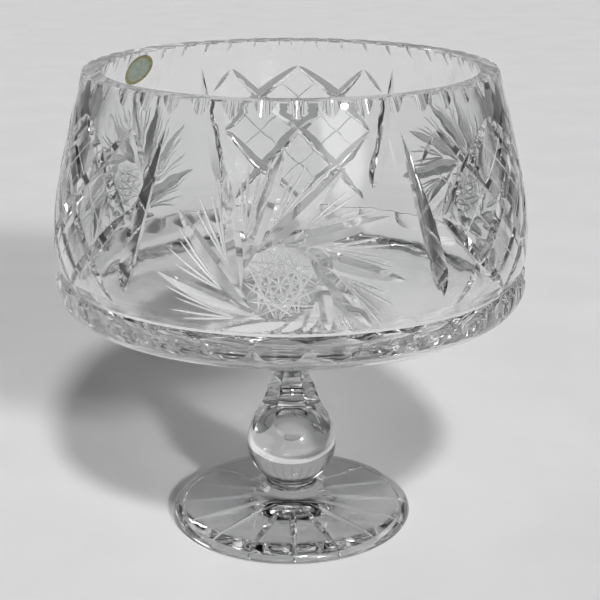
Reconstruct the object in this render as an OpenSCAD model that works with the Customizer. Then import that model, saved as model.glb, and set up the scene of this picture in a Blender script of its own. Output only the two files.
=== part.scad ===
// Footed punch bowl in cut lead crystal.
// Origin at the centre of the foot's underside, +Z up, millimetres.

/* [Bowl] */
// Outer diameter of the rim
rim_d = 254; // [250:1:258]
// Height of the bowl alone, from its base to the rim
bowl_h = 176; // [172:1:180]
// Outer diameter of the belly
belly_d = 297; // [294:1:300]
// Thickness of the wall
wall = 12; // [10:0.5:13]
// Thickness of the glass at the middle of the bottom
bottom_t = 16; // [14:1:20]

/* [Cuts] */
// Number of thumb cuts round the rim
rim_cut_n = 45; // [40:1:48]
// Number of scallops round the lower band
scallop_n = 30; // [28:1:32]
// Number of panels of each kind (pinwheel and diamond)
panel_n = 3; // [3:1:3]
// Number of blades in a pinwheel
blade_n = 12; // [10:1:14]
// Number of radial cuts under the foot
foot_cut_n = 16; // [12:1:18]

/* [Stem] */
// Height of the stem
stem_h = 95; // [92:1:98]
// Diameter of the ball
ball_d = 59.2; // [57:0.2:61]
// Number of flutes on the upper stem
flute_n = 6; // [6:1:6]

/* [Foot] */
// Diameter of the foot
foot_d = 159; // [154:1:164]
// Height of the foot at its middle
foot_h = 22; // [20:1:24]

/* [Label] */
// Length of the oval foil label
label_l = 29; // [26:1:36]
// Width of the oval foil label
label_w = 19; // [16:1:20]

/* [Hidden] */
$fn = 180;

GLASS = [0.80, 0.82, 0.82, 0.55];
FOIL = [0.62, 0.60, 0.36];

// Stack of levels, from the foot up
lower_merese_h = 3;
upper_merese_h = 4;
merese_r = 17;
stem_z = foot_h + lower_merese_h;
stem_top_z = stem_z + stem_h;
base_z = stem_top_z + upper_merese_h;
rim_z = base_z + bowl_h;

// Radii of the bowl's outline
rim_r = rim_d / 2;
belly_r = belly_d / 2;
base_r = 20;
chamfer = 0.8;

// Levels of the bowl's outline, above its base
groove_h = 52;
groove_w = 1.5;
ridge_h = 48;
turn_h = 27;
groove_r = belly_r - 4;
turn_r = belly_r - 15;
curve_steps = 9;

// Foot
foot_r = foot_d / 2;
foot_bevel_r = foot_r - 8.5;
foot_bevel_h = 9.8;
foot_recess = 1;
rest_ring_in = foot_r - 8;
rest_ring_out = foot_r - 2.5;
// Where the first radial cut under the foot faces
foot_turn = -88.7;

// Where the pattern's first pinwheel faces
pattern_turn = -92.3;
// How far a straight cut runs on past its ends
overshoot = 3;

// Cubic curve through a and d, shaped by b and c
function bezier(a, b, c, d, n) = [
    for (i = [0:n]) let (t = i / n, s = 1 - t)
        s * s * s * a + 3 * s * s * t * b + 3 * s * t * t * c + t * t * t * d
];

// Outside of the upper body, from the rim down to the groove
function body_curve(inset = 0) = bezier(
    [rim_r - inset, rim_z],
    [rim_r + 6 - inset, rim_z - 0.14 * bowl_h],
    [belly_r + 10.5 - inset, base_z + 0.415 * bowl_h],
    [groove_r - inset, base_z + groove_h],
    curve_steps
);

// Lower band, from the ridge down to the turn under the bowl
function band_curve() = bezier(
    [belly_r + 0.5, base_z + ridge_h],
    [belly_r + 0.5, base_z + ridge_h - 12],
    [turn_r + 10, base_z + turn_h + 3],
    [turn_r, base_z + turn_h],
    5
);

// Underside, from the turn in to the flat base
function under_curve() = bezier(
    [turn_r, base_z + turn_h],
    [turn_r - 35, base_z + turn_h - 10],
    [base_r + 40, base_z + 6],
    [base_r, base_z],
    6
);

// Inside of the bottom, from the wall in to the middle
function floor_curve() = bezier(
    [groove_r - wall, base_z + groove_h],
    [groove_r - wall - 10, base_z + groove_h - 20],
    [80, base_z + bottom_t],
    [0, base_z + bottom_t],
    8
);

// The points of a list without its first one
function tail(points) = [for (i = [1:len(points) - 1]) points[i]];

// A list of points in the other order
function reversed(points) = [for (i = [len(points) - 1:-1:0]) points[i]];

// Outside radius of the upper body at a height
function body_r(z) = lookup(z, [for (p = body_curve()) [p.y, p.x]]);

// Point on the outside of the upper body, or that deep inside it
function on_body(angle, z, depth = 0) = let (r = body_r(z) - depth)
    [r * cos(angle), r * sin(angle), z];

// Closed half outline of the bowl
function bowl_outline() = concat(
    [[rim_r - wall + chamfer, rim_z], [rim_r - chamfer, rim_z]],
    [[rim_r, rim_z - chamfer]],
    tail(body_curve()),
    [[groove_r, base_z + groove_h - groove_w]],
    band_curve(),
    tail(under_curve()),
    [[0, base_z]],
    reversed(floor_curve()),
    tail(reversed(tail(body_curve(wall)))),
    [[rim_r - wall, rim_z - chamfer]]
);

// A straight mitre cut between two points of the body, square-edged bar turned on its corner
module mitre(a, b, size) {
    d = b - a;
    m = (a + b) / 2;
    run = norm([d.x, d.y]);
    heading = atan2(d.y, d.x);
    climb = atan2(d.z, run);
    inward = -[m.x, m.y, 0] / norm([m.x, m.y]);
    // The inward direction as the bar sees it, before its roll
    side = -inward.x * sin(heading) + inward.y * cos(heading);
    along = inward.x * cos(heading) + inward.y * sin(heading);
    up = -along * sin(climb);
    roll = atan2(up, side);
    translate(m)
        rotate([0, -climb, heading])
            rotate([roll, 0, 0])
                rotate([-45, 0, 0])
                    translate([-norm(d) / 2 - overshoot, -size, -size])
                        cube([norm(d) + 2 * overshoot, size, size]);
}

// Scooped thumb cuts, rounded below and open at the rim
module rim_cuts() {
    cut_r = 9.7;
    depth = 2.5;
    lean = 29;
    for (i = [0:rim_cut_n - 1])
        rotate([0, 0, pattern_turn + (i + 0.5) * 360 / rim_cut_n])
            translate([rim_r - depth, 0, rim_z])
                rotate([0, -lean, 0])
                    translate([cut_r, 0, -20])
                        cylinder(r = cut_r, h = 40, $fn = 60);
}

// Scallops round the lower band, each an upright cylinder pressed into the ridge
module band_scallops() {
    cut_r = 48;
    depth = 2.8;
    for (i = [0:scallop_n - 1])
        rotate([0, 0, pattern_turn + i * 360 / scallop_n])
            translate([belly_r + 0.5 - depth + cut_r, 0, base_z + turn_h])
                cylinder(r = cut_r, h = groove_h - groove_w / 2 - turn_h);
}

// The pair of leaf-shaped mitres that closes each pinwheel panel
module panel_leaves() {
    top = [28.6, rim_z - 16];
    foot_end = [37, base_z + 66];
    for (side = [-1, 1])
        mitre(on_body(side * top.x, top.y), on_body(side * foot_end.x, foot_end.y), 20);
}

// One pinwheel: straight blades that leave a small circle on a tangent
module pinwheel() {
    centre_z = base_z + 81.4;
    hub_r = 21.5;
    tip_r = 72;
    sweep = 73;
    // Millimetres round the body for each degree, near the middle of the panel
    arc = belly_r * PI / 180;
    low_z = base_z + groove_h + 1;
    for (i = [0:blade_n - 1]) {
        tip_a = i * 360 / blade_n - 2;
        root_a = tip_a + sweep;
        tip_z = centre_z + tip_r * sin(tip_a);
        // Blades that would reach the groove stop above it
        keep = tip_z < low_z ? (centre_z - low_z) / (centre_z - tip_z) : 1;
        tip = [tip_r * keep * cos(tip_a), centre_z + tip_r * keep * sin(tip_a)];
        root = [hub_r * cos(root_a), centre_z + hub_r * sin(root_a)];
        mitre(on_body(tip.x / arc, tip.y), on_body(root.x / arc, root.y), 12);
    }
}

// Mitres joined end to end through points given as [angle, height, depth]
module mitre_path(points) {
    at = [for (p = points) on_body(p[0], p[1], p[2])];
    for (i = [1:len(at) - 1])
        mitre(at[i - 1], at[i], 12);
}

// One diamond panel: crossing mitres between the leaves of the pinwheel panels beside it
module diamond_panel() {
    peak_z = rim_z - 19;
    cross_z = rim_z - 40;
    edge_z = base_z + 110.5;
    low_cross_z = base_z + 81;
    end_z = base_z + groove_h + 5;
    peak_a = 21.2;
    cross_a = 12.3;
    edge_a = 22.6;
    low_cross_a = 11.3;
    deep = 1.8;
    for (side = [-1, 1]) {
        mitre_path([
            [side * peak_a, peak_z, 0], [side * cross_a, cross_z, deep], [0, edge_z, deep],
            [-side * low_cross_a, low_cross_z, deep], [-side * 19.5, end_z, 0]
        ]);
        mitre_path([[0, peak_z, 0], [side * cross_a, cross_z, deep], [side * edge_a, edge_z, 0]]);
        mitre_path([[side * edge_a, edge_z, 0], [side * low_cross_a, low_cross_z, deep], [0, end_z, 0]]);
        mitre_path([[side * peak_a, peak_z, 0.3], [side * 26.5, rim_z - 35, 0.3]]);
    }
}

module bowl() {
    color(GLASS)
        difference() {
            rotate_extrude()
                polygon(bowl_outline());
            rim_cuts();
            band_scallops();
            for (i = [0:panel_n - 1])
                rotate([0, 0, pattern_turn + i * 360 / panel_n]) {
                    panel_leaves();
                    pinwheel();
                    rotate([0, 0, 180 / panel_n])
                        diamond_panel();
                }
        }
}

module upper_merese() {
    color(GLASS)
        translate([0, 0, stem_top_z])
            cylinder(r = merese_r, h = upper_merese_h);
}

// Half outline of the stem before its flutes are cut: ball below, neck above
function stem_outline() = let (
    ball_r = ball_d / 2,
    ball_z = stem_z + sqrt(ball_r * ball_r - 15 * 15),
    low_a = asin((stem_z - ball_z) / ball_r),
    high_a = 28
) concat(
    [[0, stem_z]],
    [for (i = [0:12]) let (a = low_a + i * (high_a - low_a) / 12)
        [ball_r * cos(a), ball_z + ball_r * sin(a)]],
    [[18.6, stem_z + 60], [16.5, stem_z + 72], [16, stem_top_z], [0, stem_top_z]]
);

// A wheel laid flat against the stem, its axis level, touching the points given as [radius, height]
module flute(near, wheel_r, waist_z) {
    axis_x = near.x + sqrt(wheel_r * wheel_r - (waist_z - near.y) * (waist_z - near.y));
    translate([axis_x, 0, waist_z])
        rotate([90, 0, 0])
            cylinder(r = wheel_r, h = 60, center = true, $fn = 360);
}

module stem() {
    edge = [13.2, stem_z + 65];
    color(GLASS)
        difference() {
            rotate_extrude()
                polygon(stem_outline());
            for (i = [0:flute_n - 1])
                rotate([0, 0, -90 + i * 360 / flute_n]) {
                    flute(edge, 60, stem_z + 76.8);
                    flute(edge, 150, stem_z + 124);
                }
        }
}

module lower_merese() {
    color(GLASS)
        translate([0, 0, foot_h])
            cylinder(r = merese_r, h = lower_merese_h);
}

// One straight length of a radial cut, between two points given as [radius, height]
module foot_groove(a, b) {
    size = 12;
    d = b - a;
    translate([a.x, 0, a.y])
        rotate([0, -atan2(d.y, d.x), 0])
            rotate([45, 0, 0])
                translate([0, -size, -size])
                    cube([norm(d), size, size]);
}

// Radial leaf cuts under the foot, deepest half way out and fading before the edge
module foot_cuts() {
    inner = [10, foot_recess];
    deep = [44, 4.4];
    outer = [foot_r - 3.5, 0];
    for (i = [0:foot_cut_n - 1])
        rotate([0, 0, foot_turn + i * 360 / foot_cut_n]) {
            foot_groove(inner, deep);
            foot_groove(deep, outer);
        }
}

// Closed half outline of the foot: recess and rest ring below, rounded edge, plate that sweeps up to the stem
function foot_outline() = concat(
    [[0, foot_recess], [rest_ring_in - 1, foot_recess], [rest_ring_in, 0]],
    bezier(
        [rest_ring_out, 0],
        [foot_r + 1.5, 1],
        [foot_r + 1.5, 7.2],
        [foot_bevel_r, foot_bevel_h],
        6
    ),
    tail(bezier(
        [foot_bevel_r, foot_bevel_h],
        [45, 12.2],
        [merese_r + 9, 13.5],
        [merese_r, foot_h],
        6
    )),
    [[0, foot_h]]
);

module foot() {
    color(GLASS)
        difference() {
            rotate_extrude()
                polygon(foot_outline());
            foot_cuts();
        }
}

// Thin oval of foil on the inside of the wall, below the rim
module foil_label() {
    foil_t = 0.2;
    label_z = rim_z - 12.5;
    label_turn = 148;
    tilt = 11;
    inside = body_curve(wall);
    facing = body_curve(wall + foil_t);
    oval = [for (i = [0:35]) [label_w / 2 * cos(i * 10), label_l / 2 * sin(i * 10)]];
    color(FOIL)
        intersection() {
            rotate_extrude()
                polygon(concat(
                    [for (i = [0:3]) inside[i]],
                    [for (i = [3:-1:0]) facing[i]]
                ));
            rotate([0, 0, label_turn])
                translate([rim_r - wall - 20, 0, label_z])
                    rotate([tilt, 0, 0])
                        rotate([0, 90, 0])
                            linear_extrude(40)
                                polygon(oval);
        }
}

foot();
lower_merese();
stem();
upper_merese();
bowl();
foil_label();
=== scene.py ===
"""Footed punch bowl in cut lead crystal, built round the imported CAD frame."""

import math

import bmesh
import bpy
import numpy as np
from mathutils import Matrix, Vector


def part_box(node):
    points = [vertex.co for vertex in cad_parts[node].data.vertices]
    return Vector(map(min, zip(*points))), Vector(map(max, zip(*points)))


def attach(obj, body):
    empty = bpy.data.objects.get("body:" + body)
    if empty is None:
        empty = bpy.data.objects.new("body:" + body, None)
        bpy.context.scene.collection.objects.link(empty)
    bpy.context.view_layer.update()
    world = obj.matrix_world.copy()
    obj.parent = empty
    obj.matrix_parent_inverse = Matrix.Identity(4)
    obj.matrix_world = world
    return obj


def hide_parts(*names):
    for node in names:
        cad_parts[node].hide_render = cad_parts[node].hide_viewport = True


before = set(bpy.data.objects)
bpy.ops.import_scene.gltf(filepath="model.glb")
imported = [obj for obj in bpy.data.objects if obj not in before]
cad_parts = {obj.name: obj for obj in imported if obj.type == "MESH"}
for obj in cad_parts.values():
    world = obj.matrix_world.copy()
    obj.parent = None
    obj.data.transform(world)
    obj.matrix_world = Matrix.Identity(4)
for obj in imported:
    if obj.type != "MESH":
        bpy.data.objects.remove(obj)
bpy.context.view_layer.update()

# Shapes are worked out in millimetres and scaled to metres when a mesh is made.
MM = 0.001
TINY = 1e-6


def cad_box(node):
    """Lowest and highest corner of a CAD node, in millimetres."""
    low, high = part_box(node)
    return low / MM, high / MM


BOWL_LOW, BOWL_HIGH = cad_box("bowl")
STEM_LOW, STEM_HIGH = cad_box("stem")
_, FOOT_HIGH = cad_box("foot")
UPPER_LOW, UPPER_HIGH = cad_box("upper_merese")
LOWER_LOW, LOWER_HIGH = cad_box("lower_merese")
LABEL_LOW, LABEL_HIGH = cad_box("foil_label")

# Levels of the bowl
BASE_Z = BOWL_LOW.z
RIM_Z = BOWL_HIGH.z
GROOVE_Z = BASE_Z + 52
GROOVE_HALF = 1.5
RIDGE_Z = BASE_Z + 48
TURN_Z = BASE_Z + 27

# Radii of the bowl
RIM_R = 127
BELLY_R = 148.5
GROOVE_R = BELLY_R - 4
BAND_R = BELLY_R + 0.45
TURN_R = BELLY_R - 15
BASE_R = 20

# Radii of the stem, the wafers and the foot
MERESE_R = UPPER_HIGH.x
BALL_R = STEM_HIGH.x
NECK_R = 13.2
FOOT_R = FOOT_HIGH.x
RING_R = FOOT_R - 8

# Thicknesses and small edges
WALL = 12
BOTTOM_T = 16
CHAMFER = 0.8
RECESS = 1

# The cut pattern: where the first pinwheel and the first cut under the foot face, in degrees
PATTERN_TURN = -92.3
FOOT_TURN = -88.7
PANEL_STEP = 120
RIM_CUTS = 45
SCALLOPS = 30
BLADES = 12
FLUTES = 6
FOOT_CUTS = 16
HUB_Z = BASE_Z + 81.4
HUB_R = 21.5
DEGREE_ARC = BELLY_R * math.pi / 180

# Steps round a turned body, and the angle in degrees over which an edge stays crisp
BODY_STEPS = 240
WAFER_STEPS = 120
CREASE_ANGLE = 14

# Material slots of the glass pieces
GLASS_SLOT, SEAM_SLOT, ENGRAVED_SLOT, SATIN_SLOT = range(4)


# ---------------------------------------------------------------- outlines

def bezier(a, b, c, d, n):
    """Points of a cubic curve, as rows of [radius, height]."""
    t = np.linspace(0, 1, n + 1)[:, None]
    s = 1 - t
    ends = s**3 * np.array(a) + t**3 * np.array(d)
    return ends + 3 * s * s * t * np.array(b) + 3 * s * t * t * np.array(c)


def body_curve(inset=0.0, n=28):
    """Outside of the upper body, from the rim down to the groove."""
    return bezier(
        (RIM_R - inset, RIM_Z),
        (RIM_R + 6 - inset, RIM_Z - 24.6),
        (BELLY_R + 10.3 - inset, BASE_Z + 73),
        (GROOVE_R - inset, GROOVE_Z),
        n,
    )


def band_curve():
    """Lower band, from the ridge down to the turn under the bowl."""
    return bezier(
        (BAND_R, RIDGE_Z),
        (BAND_R, RIDGE_Z - 12),
        (TURN_R + 10, TURN_Z + 3),
        (TURN_R, TURN_Z),
        12,
    )


def under_curve():
    """Underside, from the turn in to the flat base."""
    return bezier(
        (TURN_R, TURN_Z),
        (TURN_R - 35, TURN_Z - 10),
        (BASE_R + 40, BASE_Z + 6),
        (BASE_R, BASE_Z),
        14,
    )


def floor_curve():
    """Inside of the bottom, from the wall in to the middle."""
    return bezier(
        (GROOVE_R - WALL, GROOVE_Z),
        (GROOVE_R - WALL - 10, GROOVE_Z - 20),
        (80, BASE_Z + BOTTOM_T),
        (0, BASE_Z + BOTTOM_T),
        20,
    )


def joined(*parts):
    """One outline from several lists of points, without the points they share."""
    points = []
    for part in parts:
        for point in part:
            if not points or math.dist(points[-1], point) > TINY:
                points.append(tuple(point))
    return points


# ---------------------------------------------------------------- meshes

def mesh_object(name, vertices, faces, materials):
    """A mesh object from millimetre points."""
    mesh = bpy.data.meshes.new(name)
    mesh.from_pydata([tuple(v) for v in vertices], [], faces)
    mesh.transform(Matrix.Scale(MM, 4))
    for material in materials:
        mesh.materials.append(material)
    obj = bpy.data.objects.new(name, mesh)
    bpy.context.scene.collection.objects.link(obj)
    return obj


def face_outward(obj):
    """Turns every face of a closed mesh outward."""
    work = bmesh.new()
    work.from_mesh(obj.data)
    bmesh.ops.recalc_face_normals(work, faces=work.faces)
    work.to_mesh(obj.data)
    work.free()


def smooth_glass(obj):
    """Smooth shading, with the edges of the cut facets left crisp."""
    mesh = obj.data
    mesh.polygons.foreach_set("use_smooth", [True] * len(mesh.polygons))
    mesh.set_sharp_from_angle(angle=math.radians(CREASE_ANGLE))


def in_seam(inner, outer, seams):
    """Whether the face between two outline points lies flat inside one of the seams."""
    if abs(inner[1] - outer[1]) > TINY:
        return False
    reach = max(inner[0], outer[0])
    return any(abs(inner[1] - height) < TINY and reach <= radius + TINY for radius, height in seams)


def revolve(name, outline, materials, seams, steps=BODY_STEPS):
    """A closed solid turned from a half outline that starts and ends on the axis.

    seams lists the fused joints as (radius, height). The flat faces inside them take the seam material.
    """
    angles = [2 * math.pi * i / steps for i in range(steps)]
    vertices, rings = [], []
    for radius, height in outline:
        if radius < TINY:
            rings.append([len(vertices)])
            vertices.append((0, 0, height))
        else:
            rings.append(list(range(len(vertices), len(vertices) + steps)))
            vertices.extend((radius * math.cos(a), radius * math.sin(a), height) for a in angles)
    faces, slots = [], []
    for k, (low, high) in enumerate(zip(rings, rings[1:])):
        slot = SEAM_SLOT if in_seam(outline[k], outline[k + 1], seams) else GLASS_SLOT
        for i in range(steps):
            j = (i + 1) % steps
            if len(low) == 1:
                faces.append((low[0], high[j], high[i]))
            elif len(high) == 1:
                faces.append((low[i], low[j], high[0]))
            else:
                faces.append((low[i], low[j], high[j], high[i]))
            slots.append(slot)
    obj = mesh_object(name, vertices, faces, materials)
    obj.data.polygons.foreach_set("material_index", slots)
    face_outward(obj)
    return obj


def cut(obj, cutters, stride=1, slot=GLASS_SLOT):
    """Takes the cutters out of obj, and gives the cut faces that material slot.

    Neighbours that would touch go in separate passes, each of which takes every stride-th cutter.
    """
    for first in range(stride):
        vertices, faces = [], []
        for part_vertices, part_faces in cutters[first::stride]:
            start = len(vertices)
            vertices.extend(part_vertices)
            faces.extend([tuple(start + i for i in face) for face in part_faces])
        tool = mesh_object("cutter", vertices, faces, obj.data.materials)
        tool.data.polygons.foreach_set("material_index", [slot] * len(faces))
        face_outward(tool)
        modifier = obj.modifiers.new("cut", "BOOLEAN")
        modifier.operation = "DIFFERENCE"
        modifier.solver = "MANIFOLD"
        modifier.object = tool
        seen = obj.evaluated_get(bpy.context.evaluated_depsgraph_get())
        mesh = bpy.data.meshes.new_from_object(seen)
        obj.modifiers.clear()
        obj.data = mesh
        bpy.data.objects.remove(tool)


def turned(degrees):
    """A turn about the bowl's axis."""
    return Matrix.Rotation(math.radians(degrees), 4, "Z")


def rod(place, radius, length, sides):
    """A round cutter, its axis along the local Z of the matrix place."""
    vertices, faces = [], []
    for z in (-length / 2, length / 2):
        for i in range(sides):
            a = 2 * math.pi * i / sides
            vertices.append(place @ Vector((radius * math.cos(a), radius * math.sin(a), z)))
    for i in range(sides):
        j = (i + 1) % sides
        faces.append((i, j, sides + j, sides + i))
    faces.append(tuple(range(sides - 1, -1, -1)))
    faces.append(tuple(range(sides, 2 * sides)))
    return vertices, faces


def vee(spots, depth, spread=1.05, peak=0.5, power=1.0):
    """A V-shaped cutter along a list of (point, outward normal).

    depth is reached at the share peak of the way, and spread is half the width over the depth.
    A small power gives a groove of even depth.
    """
    clear = 0.6
    lift = 0.12
    n = len(spots) - 1
    vertices, faces = [], []
    for k, (point, normal) in enumerate(spots):
        ahead = spots[min(k + 1, n)][0] - spots[max(k - 1, 0)][0]
        side = normal.cross(ahead).normalized()
        bend = k / n / peak if k / n < peak else (1 - k / n) / (1 - peak)
        deep = depth * (1 - (1 - bend) ** 2) ** power - lift
        vertices.append(point - normal * deep)
        vertices.append(point + normal * clear + side * (spread * (deep + clear)))
        vertices.append(point + normal * clear - side * (spread * (deep + clear)))
    for k in range(n):
        a, b = 3 * k, 3 * k + 3
        faces.append((a, b, b + 1, a + 1))
        faces.append((a + 2, b + 2, b, a))
        faces.append((a + 1, b + 1, b + 2, a + 2))
    faces.append((0, 1, 2))
    faces.append((3 * n + 2, 3 * n + 1, 3 * n))
    return vertices, faces


# ---------------------------------------------------------------- places on the body

BODY_HEIGHTS, BODY_RADII = body_curve(n=80)[::-1, ::-1].T


def on_body(angle, height):
    """Point and outward normal of the upper body's outside."""
    half = 0.5
    radius, below, above = np.interp((height, height - half, height + half), BODY_HEIGHTS, BODY_RADII)
    a = math.radians(angle)
    point = Vector((radius * math.cos(a), radius * math.sin(a), height))
    return point, Vector((math.cos(a), math.sin(a), below - above)).normalized()


def along_body(line, n):
    """Evenly spaced points, with normals, along corners given as (angle, height)."""
    line = np.array(line, float)
    steps = np.linalg.norm(np.diff(line * (DEGREE_ARC, 1), axis=0), axis=1)
    lengths = np.r_[0, np.cumsum(steps)]
    shares = np.linspace(0, lengths[-1], n + 1)
    return [on_body(*place) for place in zip(*(np.interp(shares, lengths, column) for column in line.T))]


def polar(centre, radius, degrees):
    """(angle, height) of a point given round the hub of the pinwheel that faces centre."""
    a = math.radians(degrees)
    return centre + radius * math.cos(a) / DEGREE_ARC, HUB_Z + radius * math.sin(a)


def trimmed(line):
    """The line from its upper end down to just above the groove at most."""
    lowest = GROOVE_Z + GROOVE_HALF
    (a0, z0), (a1, z1) = line
    if z1 >= lowest:
        return line
    share = (z0 - lowest) / (z0 - z1)
    return [(a0, z0), (a0 + (a1 - a0) * share, lowest)]


def pinwheels():
    """Where the three pinwheels face, in degrees."""
    return [PATTERN_TURN + i * PANEL_STEP for i in range(3)]


def diamond_panels():
    """Where the diamond panels between the pinwheels face, in degrees."""
    return [centre + PANEL_STEP / 2 for centre in pinwheels()]


# ---------------------------------------------------------------- the bowl's cuts

def rim_cuts():
    """Scooped thumb cuts round the rim, rounded below and open at the top."""
    radius, depth, lean, length = 9.7, 2.5, 29, 40
    return [
        rod(
            turned(PATTERN_TURN + (i + 0.5) * 360 / RIM_CUTS)
            @ Matrix.Translation((RIM_R - depth, 0, RIM_Z))
            @ Matrix.Rotation(math.radians(-lean), 4, "Y")
            @ Matrix.Translation((radius, 0, 0)),
            radius, length, sides=96,
        )
        for i in range(RIM_CUTS)
    ]


def band_scallops():
    """Upright scallops pressed into the ridge, cusp to cusp."""
    radius, depth = 48, 2.8
    low, high = TURN_Z, GROOVE_Z - GROOVE_HALF / 2
    return [
        rod(
            turned(PATTERN_TURN + i * 360 / SCALLOPS)
            @ Matrix.Translation((BAND_R - depth + radius, 0, (low + high) / 2)),
            radius, high - low, sides=240,
        )
        for i in range(SCALLOPS)
    ]


def blade_tips():
    """(pinwheel, direction of the tip) of every blade, in degrees."""
    first = -2
    return [(centre, first + i * 360 / BLADES) for centre in pinwheels() for i in range(BLADES)]


def blades():
    """Twelve blades on each pinwheel, tangent to its hub."""
    tip_r, sweep = 72, 73
    found = []
    for centre, tip in blade_tips():
        line = trimmed([polar(centre, HUB_R, tip + sweep), polar(centre, tip_r, tip)])
        found.append(vee(along_body(line, 18), depth=3.3, spread=1.5, peak=0.4, power=0.8))
    return found


def fan_lines():
    """Four fine lines, long and short by turns, between each pair of blades."""
    start_r, start_turn, turn_step = 31, 41, 6
    long_r, short_r = 67, 62
    found = []
    for centre, tip in blade_tips():
        for j in range(1, 5):
            start = polar(centre, start_r, tip + start_turn)
            end = polar(centre, long_r if j % 2 else short_r, tip + j * turn_step)
            found.append(vee(along_body(trimmed([start, end]), 8), depth=0.9, power=0.6))
    return found


def hub_chord(centre, share, start, span, depth, steps=8):
    """A fine straight cut over a hub, across a circle of that share of its radius."""
    line = [polar(centre, HUB_R * share, a) for a in (start, start + span)]
    return vee(along_body(line, steps), depth=depth, power=0.5)


def star_cuts():
    """The star in each hub, in groups of cuts that don't cross each other."""
    first_point, first_ray = -4, 11
    groups = []
    for turn in range(0, 120, 30):
        groups.append([
            hub_chord(centre, 1, first_point + turn + corner, 120, depth=0.9)
            for centre in pinwheels()
            for corner in (0, 120, 240)
        ])
    for turn in range(0, 360, 30):
        groups.append([hub_chord(centre, 0.97, first_point + turn, 150, depth=0.7) for centre in pinwheels()])
    for turn in range(0, 180, 45):
        groups.append([
            hub_chord(centre, 0.55, first_ray + turn, 180, depth=0.9, steps=6)
            for centre in pinwheels()
        ])
    return groups


def border_leaves():
    """The pair of long leaves that closes each pinwheel panel."""
    top_turn, top_z = 28.6, RIM_Z - 16
    low_turn, low_z = 37.2, BASE_Z + 66
    found = []
    for centre in pinwheels():
        for side in (-1, 1):
            line = [(centre + side * top_turn, top_z), (centre + side * low_turn, low_z)]
            found.append(vee(along_body(line, 36), depth=4.6, spread=1.3, peak=0.84))
    return found


# The outer peaks of a diamond panel, in degrees from its middle, and the levels where its mitres cross
PEAK_TURN = 21.2
PEAK_Z = RIM_Z - 19
UPPER_CROSS_Z = RIM_Z - 40
MIDDLE_CROSS_Z = RIM_Z - 65.5
LOWER_CROSS_Z = RIM_Z - 95
TOE_Z = RIM_Z - 119


def panel_cuts(lines, side, steps, **groove):
    """Cuts along lines of (degrees from the panel's middle, height), that run down to one side."""
    found = []
    for centre in diamond_panels():
        for points in lines:
            line = [(centre + side * a, z) for a, z in points]
            found.append(vee(along_body(line, steps), **groove))
    return found


def lattice(side):
    """The mitres of the diamond panels that run down to one side."""
    upper, middle, lower, toe = 12.3, 22.6, 11.3, 19.5
    upper_half = [(-PEAK_TURN, PEAK_Z), (-upper, UPPER_CROSS_Z), (0, MIDDLE_CROSS_Z)]
    lower_half = [(lower, LOWER_CROSS_Z), (toe, TOE_Z)]
    lines = (
        upper_half + lower_half,
        [(0, PEAK_Z + 0.5), (upper, UPPER_CROSS_Z), (middle, MIDDLE_CROSS_Z)],
        [(-middle, MIDDLE_CROSS_Z), (-lower, LOWER_CROSS_Z), (0, TOE_Z)],
    )
    return panel_cuts(lines, side, 24, depth=3.3, spread=1.3, power=0.5)


def lattice_threads(side):
    """The fine lines that cross each diamond."""
    lines = (
        [(-24, RIM_Z - 37.5), (-17.5, RIM_Z - 53), (-5.6, RIM_Z - 81), (5.6, RIM_Z - 107)],
        [(-6.1, RIM_Z - 29.3), (6.1, RIM_Z - 53.5), (17, RIM_Z - 80)],
    )
    return panel_cuts(lines, side, 16, depth=0.7, power=0.4)


def corner_leaves():
    """Short leaves from the outer peaks down to the borders."""
    low_turn, drop = 26.8, 17
    found = []
    for centre in diamond_panels():
        for side in (-1, 1):
            line = [(centre + side * PEAK_TURN, PEAK_Z), (centre + side * low_turn, PEAK_Z - drop)]
            found.append(vee(along_body(line, 10), depth=1.6))
    return found


# ---------------------------------------------------------------- the glass pieces

def bowl_outline():
    """Half outline of the bowl before it is cut."""
    return joined(
        [(0, BASE_Z), (MERESE_R, BASE_Z)],
        under_curve()[::-1],
        band_curve()[::-1],
        [(GROOVE_R, GROOVE_Z - GROOVE_HALF)],
        body_curve()[::-1][:-1],
        [(RIM_R, RIM_Z - CHAMFER), (RIM_R - CHAMFER, RIM_Z)],
        [(RIM_R - WALL + CHAMFER, RIM_Z), (RIM_R - WALL, RIM_Z - CHAMFER)],
        body_curve(WALL)[1:],
        floor_curve(),
    )


def make_bowl(materials):
    """The bowl with all its cuts. The materials are in the order of the slots."""
    bowl = revolve("bowl_cut", bowl_outline(), materials, seams=[(MERESE_R, BASE_Z)])
    cut(bowl, rim_cuts(), stride=3)
    cut(bowl, band_scallops(), stride=3)
    cut(bowl, border_leaves())
    cut(bowl, blades(), stride=2, slot=SATIN_SLOT)
    cut(bowl, lattice(-1))
    cut(bowl, lattice(1))
    cut(bowl, corner_leaves())
    cut(bowl, lattice_threads(-1), slot=ENGRAVED_SLOT)
    cut(bowl, lattice_threads(1), slot=ENGRAVED_SLOT)
    cut(bowl, fan_lines(), stride=4, slot=ENGRAVED_SLOT)
    for group in star_cuts():
        cut(bowl, group, slot=ENGRAVED_SLOT)
    smooth_glass(bowl)
    return bowl


def make_merese(name, low, high, materials):
    """A wafer between two levels, with a blunt edge."""
    flat_r = MERESE_R - 0.8
    lower_half = [(0, low), (NECK_R, low), (flat_r, low), (MERESE_R, (low + high) / 2)]
    upper_half = [(flat_r, high), (NECK_R, high), (0, high)]
    seams = [(NECK_R, low), (NECK_R, high)]
    return revolve(name, lower_half + upper_half, materials, seams, WAFER_STEPS)


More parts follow.
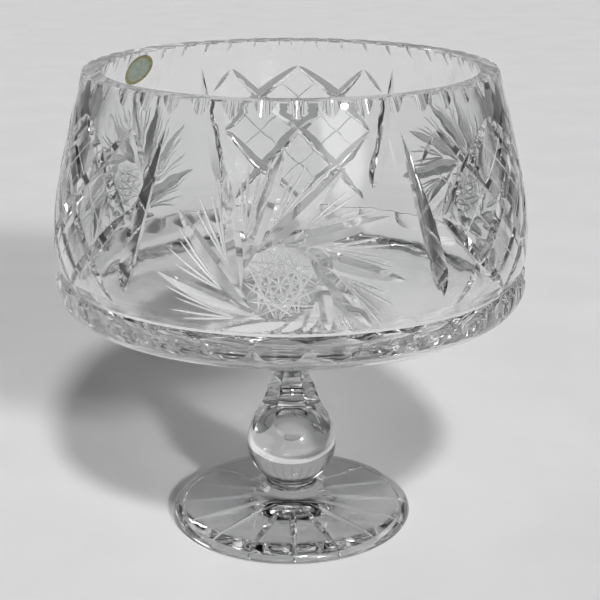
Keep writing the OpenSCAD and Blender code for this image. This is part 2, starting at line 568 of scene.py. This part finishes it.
def stem_outline():
    """Half outline of the stem before its flutes are cut: ball below, neck above."""
    ball_foot_r, ball_top = 15, math.radians(28)
    ball_z = STEM_LOW.z + math.sqrt(BALL_R**2 - ball_foot_r**2)
    start = math.asin((STEM_LOW.z - ball_z) / BALL_R)
    return joined(
        [(0, STEM_LOW.z), (NECK_R, STEM_LOW.z)],
        [(BALL_R * math.cos(a), ball_z + BALL_R * math.sin(a)) for a in np.linspace(start, ball_top, 30)],
        [(18.6, STEM_LOW.z + 60), (16.5, STEM_LOW.z + 72), (16, STEM_HIGH.z)],
        [(NECK_R, STEM_HIGH.z), (0, STEM_HIGH.z)],
    )


def flutes(wheel_r, waist_z):
    """Six level wheels pressed into the neck, all meeting the same facet edge."""
    edge_r, edge_z, width = NECK_R, STEM_LOW.z + 65, 44
    reach = edge_r + math.sqrt(wheel_r**2 - (waist_z - edge_z) ** 2)
    return [
        rod(
            turned(-90 + i * 360 / FLUTES)
            @ Matrix.Translation((reach, 0, waist_z))
            @ Matrix.Rotation(math.radians(90), 4, "X"),
            wheel_r, width, sides=400,
        )
        for i in range(FLUTES)
    ]


def make_stem(materials):
    """The stem, its flutes tight above the ball and long up to the bowl."""
    seams = [(NECK_R, STEM_LOW.z), (NECK_R, STEM_HIGH.z)]
    stem = revolve("stem_cut", stem_outline(), materials, seams)
    cut(stem, flutes(wheel_r=60, waist_z=STEM_LOW.z + 76.8), stride=2)
    cut(stem, flutes(wheel_r=150, waist_z=STEM_LOW.z + 124), stride=2)
    smooth_glass(stem)
    return stem


def foot_outline():
    """Half outline of the foot: recess and rest ring, rounded edge, and a sweep up to the stem."""
    bulge_r = FOOT_R + 1.4
    plate = (FOOT_R - 8.5, 9.8)
    return joined(
        [(0, RECESS), (RING_R - 1, RECESS), (RING_R, 0)],
        bezier((FOOT_R - 2.5, 0), (bulge_r, 1), (bulge_r, 7.2), plate, 16),
        bezier(plate, (45, 12.2), (MERESE_R + 9, 13.5), (MERESE_R, FOOT_HIGH.z), 20),
        [(NECK_R, FOOT_HIGH.z), (0, FOOT_HIGH.z)],
    )


def foot_cuts():
    """Radial leaf cuts under the foot."""
    start_r, end_r = 13, FOOT_R - 3
    down = Vector((0, 0, -1))
    found = []
    for i in range(FOOT_CUTS):
        place = turned(FOOT_TURN + i * 360 / FOOT_CUTS)
        spots = []
        for radius in np.linspace(start_r, end_r, 24):
            height = np.interp(radius, (RING_R - 1, RING_R), (RECESS, 0))
            spots.append((place @ Vector((radius, 0, height)), down))
        found.append(vee(spots, depth=3.4, spread=0.7, peak=0.4))
    return found


def make_foot(materials):
    """The foot with the cuts in its underside."""
    foot = revolve("foot_cut", foot_outline(), materials, seams=[(NECK_R, FOOT_HIGH.z)])
    cut(foot, foot_cuts())
    smooth_glass(foot)
    return foot


# ---------------------------------------------------------------- the foil label

def make_label(gold, silver):
    """The oval foil stuck inside the wall: a raised gold border round a silver-green middle."""
    middle = (LABEL_LOW + LABEL_HIGH) / 2
    facing = math.atan2(middle.y, middle.x)
    half_length, half_width, tilt, thick = 14.2, 9.3, math.radians(11), 0.2
    border, steps = 0.78, 72
    gold_slot, silver_slot = range(2)
    # Share of the oval's size, and height above the wall in foil thicknesses
    rings = [(0.0, 0.7), (0.4, 0.7), (border, 0.7), (0.82, 1.0), (0.9, 0.8), (0.96, 1.0), (1.0, 0.05)]
    vertices, faces, slots = [], [], []
    for share, lift in rings:
        for i in range(steps):
            a = 2 * math.pi * i / steps
            along, across = half_length * share * math.cos(a), half_width * share * math.sin(a)
            height = middle.z + across * math.cos(tilt) - along * math.sin(tilt)
            side = along * math.cos(tilt) + across * math.sin(tilt)
            radius = np.interp(height, BODY_HEIGHTS, BODY_RADII) - WALL - thick * lift
            turn = facing + side / radius
            vertices.append((radius * math.cos(turn), radius * math.sin(turn), height))
    for k, (share, _) in enumerate(rings[:-1]):
        inner, outer = k * steps, (k + 1) * steps
        for i in range(steps):
            j = (i + 1) % steps
            faces.append((inner + i, inner + j, outer + j, outer + i))
            slots.append(gold_slot if share >= border else silver_slot)
    label = mesh_object("oval_foil", vertices, faces, [gold, silver])
    label.data.polygons.foreach_set("material_index", slots)
    # The first ring has no size, so its vertices are merged into one.
    work = bmesh.new()
    work.from_mesh(label.data)
    bmesh.ops.remove_doubles(work, verts=work.verts, dist=0.0001 * MM)
    work.to_mesh(label.data)
    work.free()
    face_outward(label)
    label.data.polygons.foreach_set("use_smooth", [True] * len(label.data.polygons))
    return label


# ---------------------------------------------------------------- materials

def new_material(name, **values):
    """A material with those values on its shader's own sockets.

    Returns the material, its shader and its node tree.
    """
    material = bpy.data.materials.new(name)
    material.use_nodes = True
    shader = material.node_tree.nodes["Principled BSDF"]
    for key, value in values.items():
        shader.inputs[key.replace("_", " ")].default_value = value
    return material, shader, material.node_tree


# The part of a noise's range that is used
NOISE_LOW, NOISE_HIGH = 0.35, 0.65


def noise(tree, size, detail=2.0):
    """Noise in the object's own space, with features about that many millimetres across."""
    place = tree.nodes.new("ShaderNodeTexCoord")
    pattern = tree.nodes.new("ShaderNodeTexNoise")
    pattern.inputs["Scale"].default_value = 1 / (size * MM)
    pattern.inputs["Detail"].default_value = detail
    tree.links.new(place.outputs["Object"], pattern.inputs["Vector"])
    return pattern.outputs["Fac"]


def map_range(tree, value, start, end, low, high, kind="LINEAR"):
    """Maps a value from start to end onto low to high."""
    node = tree.nodes.new("ShaderNodeMapRange")
    node.interpolation_type = kind
    tree.links.new(value, node.inputs["Value"])
    for name, number in (("From Min", start), ("From Max", end), ("To Min", low), ("To Max", high)):
        node.inputs[name].default_value = number
    return node.outputs["Result"]


def smooth_step(tree, value, start, end, low, high):
    """Eases from low to high as the value goes from start to end."""
    return map_range(tree, value, start, end, low, high, "SMOOTHSTEP")


def roughened(tree, value, low, high, shader):
    """Varies the shader's roughness from low to high by a noise."""
    tree.links.new(map_range(tree, value, NOISE_LOW, NOISE_HIGH, low, high), shader.inputs["Roughness"])


def tinted(tree, value, dark, light):
    """Colours from dark to light by a noise."""
    ramp = tree.nodes.new("ShaderNodeValToRGB")
    stops = zip(ramp.color_ramp.elements, (NOISE_LOW, NOISE_HIGH), (dark, light))
    for element, position, colour in stops:
        element.position = position
        element.color = (*colour, 1)
    tree.links.new(value, ramp.inputs["Fac"])
    return ramp.outputs["Color"]


def bumped(tree, shader, *heights):
    """Adds up bumps, given as (noise, depth in millimetres), and drives the shader's normal with them."""
    last = None
    for value, depth in heights:
        bump = tree.nodes.new("ShaderNodeBump")
        bump.inputs["Strength"].default_value = 1.0
        bump.inputs["Distance"].default_value = depth * MM
        tree.links.new(value, bump.inputs["Height"])
        if last:
            tree.links.new(last, bump.inputs["Normal"])
        last = bump.outputs["Normal"]
    tree.links.new(last, shader.inputs["Normal"])


def crystal(name, roughness, ripple, grain, grain_size=0.6, clarity=1.0):
    """Lead crystal. roughness is a (low, high) range, and ripple and grain are depths in millimetres."""
    material, shader, tree = new_material(name, IOR=1.545, Transmission_Weight=clarity)
    tint = tinted(tree, noise(tree, 60), (0.965, 0.975, 0.972), (0.985, 0.99, 0.99))
    tree.links.new(tint, shader.inputs["Base Color"])
    roughened(tree, noise(tree, 9, 4), *roughness, shader)
    bumped(tree, shader, (noise(tree, 14, 1), ripple), (noise(tree, grain_size, 3), grain))
    return material


def foil(name, dark, light, roughness):
    """Creased metal foil that varies from dark to light."""
    material, shader, tree = new_material(name, Metallic=0.85)
    tree.links.new(tinted(tree, noise(tree, 2.5, 4), dark, light), shader.inputs["Base Color"])
    roughened(tree, noise(tree, 0.9, 3), *roughness, shader)
    bumped(tree, shader, (noise(tree, 3, 2), 0.05), (noise(tree, 0.35, 2), 0.02))
    return material


POLISHED = crystal("polished crystal", (0.0, 0.004), ripple=0.1, grain=0.0004)
ENGRAVED = crystal("engraved crystal", (0.25, 0.4), ripple=0.02, grain=0.02, grain_size=0.3, clarity=0.8)
SATIN = crystal("satin cut crystal", (0.03, 0.09), ripple=0.05, grain=0.004, clarity=0.93)
SEAM, _, _ = new_material("fused seam", Alpha=0.0)
GOLD = foil("gold foil", (0.27, 0.27, 0.13), (0.44, 0.42, 0.22), (0.25, 0.4))
SILVER = foil("silver-green foil", (0.36, 0.42, 0.34), (0.52, 0.57, 0.49), (0.3, 0.5))


# ---------------------------------------------------------------- the pieces on the frame

pieces = {
    "bowl": make_bowl([POLISHED, SEAM, ENGRAVED, SATIN]),
    "upper_merese": make_merese("upper_wafer", UPPER_LOW.z, UPPER_HIGH.z, [POLISHED, SEAM]),
    "stem": make_stem([POLISHED, SEAM]),
    "lower_merese": make_merese("lower_wafer", LOWER_LOW.z, LOWER_HIGH.z, [POLISHED, SEAM]),
    "foot": make_foot([POLISHED, SEAM]),
    "foil_label": make_label(GOLD, SILVER),
}
for node, piece in pieces.items():
    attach(piece, "root")
    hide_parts(node)


# ---------------------------------------------------------------- stage

FLOOR_HALF = 12000
# Just below the foot, so that the two faces don't share a plane
FLOOR_Z = -0.2

# Directions towards the two lamps, and their softness in degrees
KEY = (0.43, -0.81, 0.40)
LAMP = (0.14, -0.64, 0.73)
KEY_STRENGTH = 2.05
LAMP_STRENGTH = 1.75
SUN_SOFTNESS = 6
# Direction, half angle in degrees and brightness of each patch of bright sky
SOFT_BOXES = [
    (KEY, 14, 2.0),
    (LAMP, 10, 2.8),
    ((-0.6, 0.5, 0.62), 9, 3.4),
    ((0.9, 0.35, 0.5), 7, 3.2),
]

# The camera's place in metres, its turns down and to the right in degrees, and its lens in millimetres
CAMERA_PLACE = (0, -0.87035, 0.43206)
CAMERA_DOWN = 18.033
CAMERA_RIGHT = 0.371
LENS = 85.04
SENSOR = 36

# Glass needs many bounces before light has found its way out of it.
GLASS_BOUNCES = 48
CLEAR_BOUNCES = 24


def math_node(tree, operation, *values):
    """A maths node on numbers or other nodes' outputs."""
    node = tree.nodes.new("ShaderNodeMath")
    node.operation = operation
    for socket, value in zip(node.inputs, values):
        if isinstance(value, bpy.types.NodeSocket):
            tree.links.new(value, socket)
        else:
            socket.default_value = value
    return node.outputs["Value"]


def coordinates(tree, kind):
    """The X, Y and Z outputs of one kind of texture coordinate."""
    place = tree.nodes.new("ShaderNodeTexCoord")
    split = tree.nodes.new("ShaderNodeSeparateXYZ")
    tree.links.new(place.outputs[kind], split.inputs["Vector"])
    return split.outputs


def painted_side_shade(tree):
    """Painted shade on the floor: one near the bowl, less well away to both sides, which gives the cut facets
    dark edges.

    start and end are in metres to the side, and the pale stretch widens towards the back.
    """
    start, end, least = 0.36, 1.0, 0.06
    widening = -0.2
    axes = coordinates(tree, "Object")
    away = math_node(tree, "MULTIPLY_ADD", axes["Y"], widening, math_node(tree, "ABSOLUTE", axes["X"]))
    return smooth_step(tree, away, start, end, 1.0, least)


def pale_board():
    """Pale matt board, its colour darkened by painted shade well away to the sides."""
    material, shader, tree = new_material("pale board with painted side shade")
    tint = tinted(tree, noise(tree, 90, 3), (0.785, 0.775, 0.785), (0.815, 0.805, 0.815))
    mix = tree.nodes.new("ShaderNodeVectorMath")
    mix.operation = "MULTIPLY"
    tree.links.new(tint, mix.inputs[0])
    # The painted side shade multiplies the board's colour, in place of a dark room beside the bowl.
    tree.links.new(painted_side_shade(tree), mix.inputs[1])
    tree.links.new(mix.outputs["Vector"], shader.inputs["Base Color"])
    roughened(tree, noise(tree, 4, 3), 0.6, 0.75, shader)
    bumped(tree, shader, (noise(tree, 1.2, 3), 0.01))
    return material


def make_floor():
    """A wide flat floor under the foot."""
    corners = ((-1, -1), (1, -1), (1, 1), (-1, 1))
    vertices = [(x * FLOOR_HALF, y * FLOOR_HALF, FLOOR_Z) for x, y in corners]
    floor = mesh_object("floor", vertices, [(0, 1, 2, 3)], [pale_board()])


def make_camera():
    """The camera, looking down on the bowl from the front."""
    data = bpy.data.cameras.new("camera")
    data.lens = LENS
    data.sensor_width = SENSOR
    camera = bpy.data.objects.new("camera", data)
    camera.location = CAMERA_PLACE
    camera.rotation_euler = (math.radians(90 - CAMERA_DOWN), 0, math.radians(-CAMERA_RIGHT))
    bpy.context.scene.collection.objects.link(camera)
    bpy.context.scene.camera = camera


def sun_light(name, direction, strength):
    """An even, slightly soft light from one direction."""
    data = bpy.data.lights.new(name, "SUN")
    data.energy = strength
    data.angle = math.radians(SUN_SOFTNESS)
    obj = bpy.data.objects.new(name, data)
    obj.rotation_euler = Vector(direction).to_track_quat("Z", "Y").to_euler()
    bpy.context.scene.collection.objects.link(obj)


def glow(tree, heading, direction, half_angle, brightness):
    """A round patch of bright sky with a soft edge."""
    core_share = 0.7
    dot = tree.nodes.new("ShaderNodeVectorMath")
    dot.operation = "DOT_PRODUCT"
    dot.inputs[1].default_value = Vector(direction).normalized()
    tree.links.new(heading, dot.inputs[0])
    edge = math.cos(math.radians(half_angle))
    core = math.cos(math.radians(half_angle * core_share))
    return smooth_step(tree, dot.outputs["Value"], edge, core, 0.0, brightness)


def studio_world():
    """Dim sky with a faint horizon, a pale wall behind the bowl and a few soft boxes."""
    world = bpy.data.worlds.new("studio")
    world.use_nodes = True
    tree = world.node_tree
    place = tree.nodes.new("ShaderNodeTexCoord")
    heading = place.outputs["Generated"]
    axes = coordinates(tree, "Generated")
    # Each eases between two brightnesses over a stretch of the heading's Z or Y.
    above = smooth_step(tree, axes["Z"], 0.55, 0.8, 0.0, 0.03)
    horizon = smooth_step(tree, axes["Z"], 0.10, 0.2, 0.05, 0.01)
    wall = smooth_step(tree, axes["Z"], 0.4, 0.6, 0.32, 0.0)
    behind = smooth_step(tree, axes["Y"], 0.45, 0.85, 0.0, 1.0)
    low = math_node(tree, "MAXIMUM", horizon, math_node(tree, "MULTIPLY", wall, behind))
    total = math_node(tree, "ADD", above, low)
    for direction, half_angle, brightness in SOFT_BOXES:
        total = math_node(tree, "ADD", total, glow(tree, heading, direction, half_angle, brightness))
    background = tree.nodes["Background"]
    tree.links.new(total, background.inputs["Strength"])
    background.inputs["Color"].default_value = (1, 0.995, 1, 1)
    return world


make_floor()
make_camera()
sun_light("key", KEY, KEY_STRENGTH)
sun_light("lamp", LAMP, LAMP_STRENGTH)
scene = bpy.context.scene
scene.world = studio_world()
scene.view_settings.view_transform = "Standard"
scene.cycles.max_bounces = GLASS_BOUNCES
scene.cycles.transmission_bounces = GLASS_BOUNCES
scene.cycles.glossy_bounces = GLASS_BOUNCES
scene.cycles.transparent_max_bounces = CLEAR_BOUNCES
